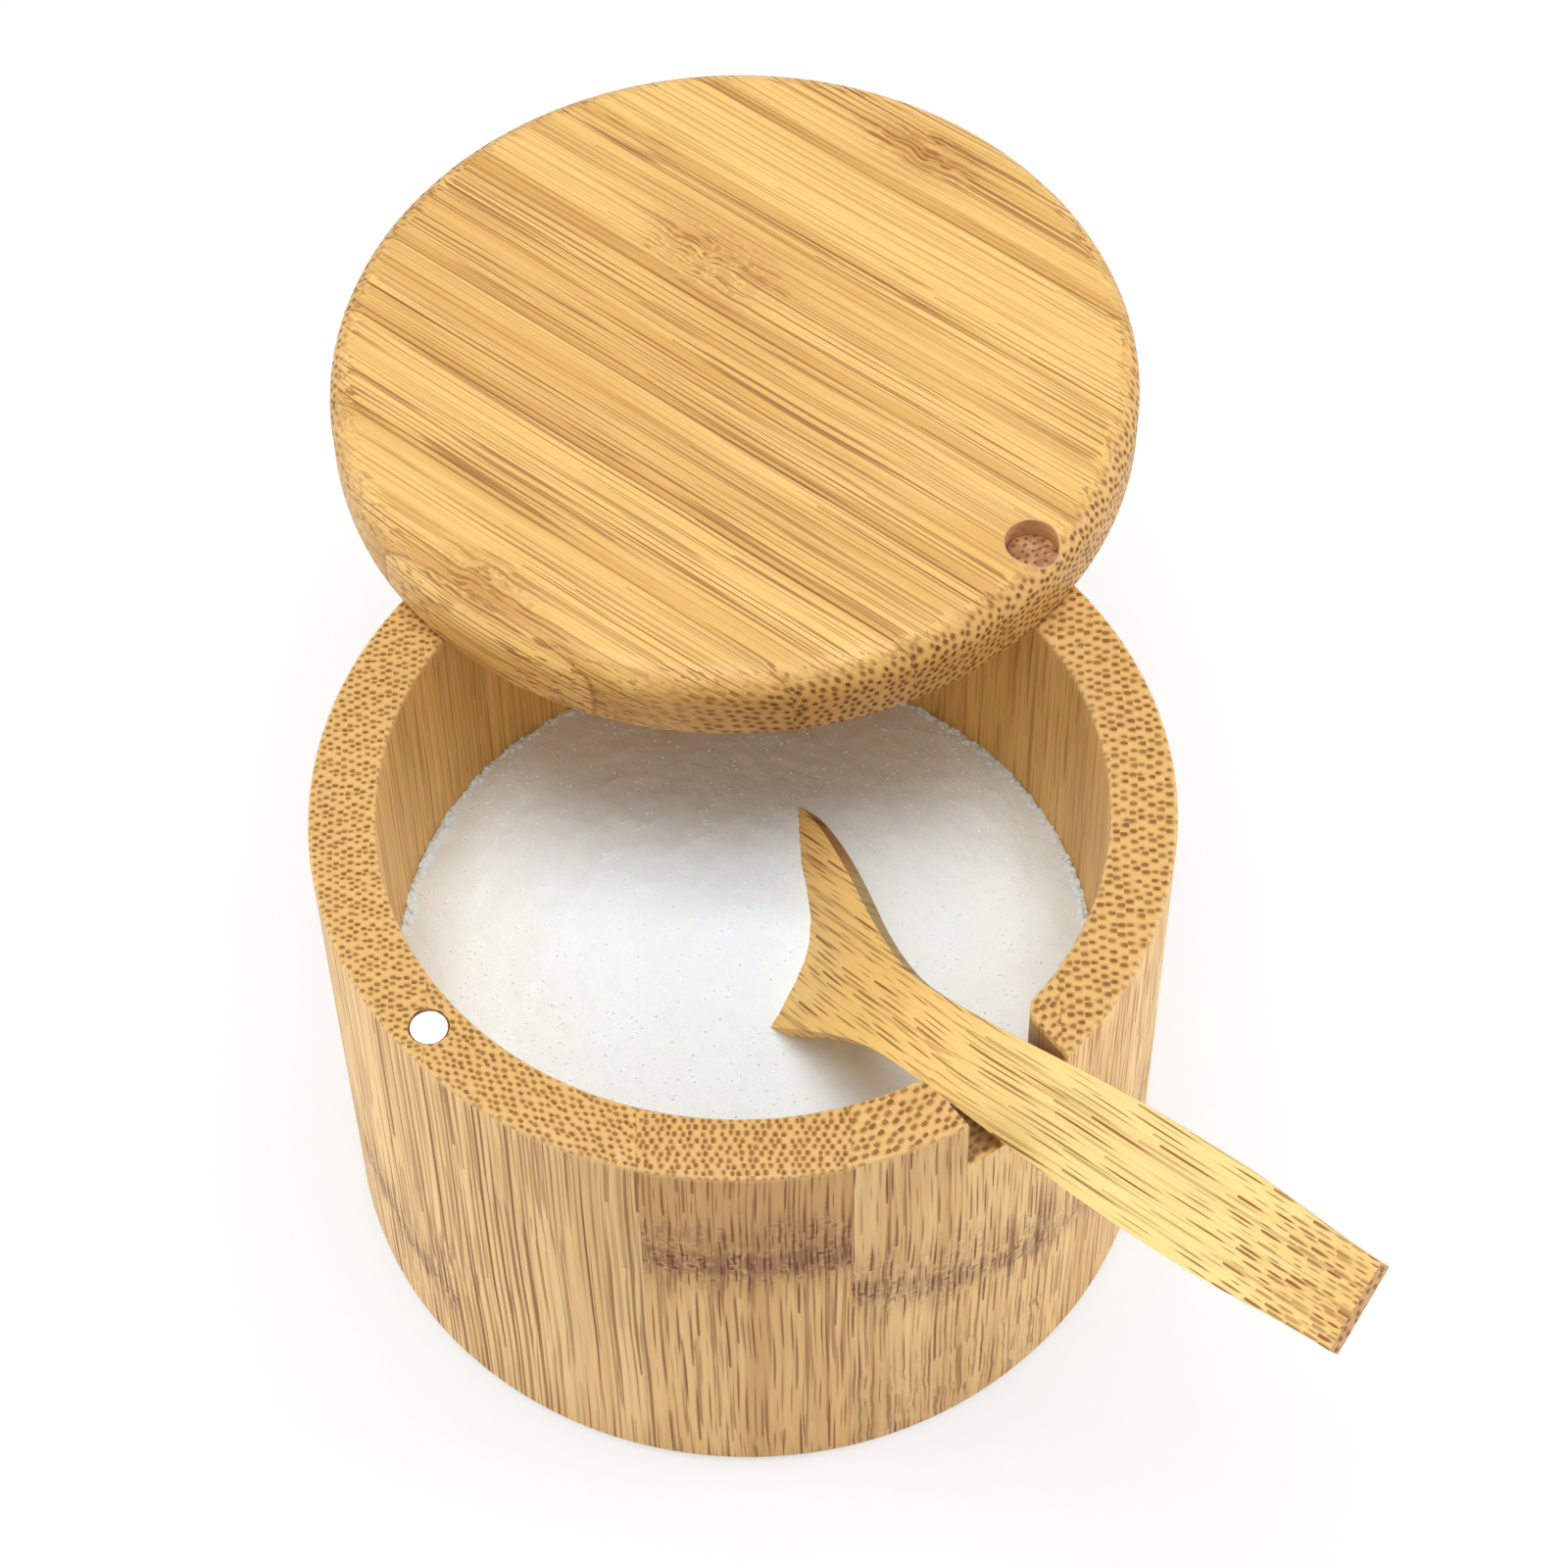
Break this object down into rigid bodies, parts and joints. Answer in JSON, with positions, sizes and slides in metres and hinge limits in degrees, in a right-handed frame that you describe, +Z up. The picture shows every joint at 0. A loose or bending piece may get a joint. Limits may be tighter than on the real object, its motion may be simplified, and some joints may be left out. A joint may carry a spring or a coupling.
{
  "type": "salt box with swivel lid",
  "caption": "Round bamboo salt box with a thick wooden lid that swivels on a pin in the rim, a notch in the wall, a small wooden spoon and a fill of salt.",
  "frame": {"origin": "centre of the box's underside, on the surface that it stands on", "axes": "+Z up; +X towards the notch and the spoon's handle; +Y towards the lid's pivot; the rim magnet is at -Y"},
  "size_m": [0.1714, 0.1227, 0.0739],
  "materials": {
    "body_bamboo": "sanded bamboo, oiled, upright grain with brown fibre ends in the rim",
    "lid_bamboo": "satin bamboo strips glued side by side",
    "pin_steel": "turned steel",
    "plug_wood": "dark end grain, matt",
    "magnet_plating": "bright nickel plating",
    "spoon_bamboo": "sanded bamboo with short brown flecks along the handle",
    "salt": "fine white granular salt, matt"
  },
  "bodies": {
    "box": {"box_body": "body_bamboo", "pivot_pin": "pin_steel", "rim_magnet": "magnet_plating", "salt_fill": "salt"},
    "lid": {"lid": "lid_bamboo", "pivot_plug": "plug_wood", "lid_magnet": "magnet_plating"},
    "spoon": {"spoon": "spoon_bamboo"}
  },
  "joints": [
    {"name": "lid_swivel", "type": "hinge", "parent": "box", "child": "lid", "pos_m": [0, 0.0405, 0.0675], "axis": [0, 0, 1], "range_deg": [-100, 80]},
    {"name": "spoon_slide", "type": "slide", "parent": "box", "child": "spoon", "axis": [0.9636, 0.0674, 0.2588], "range_m": [0, 0.005]}
  ]
}
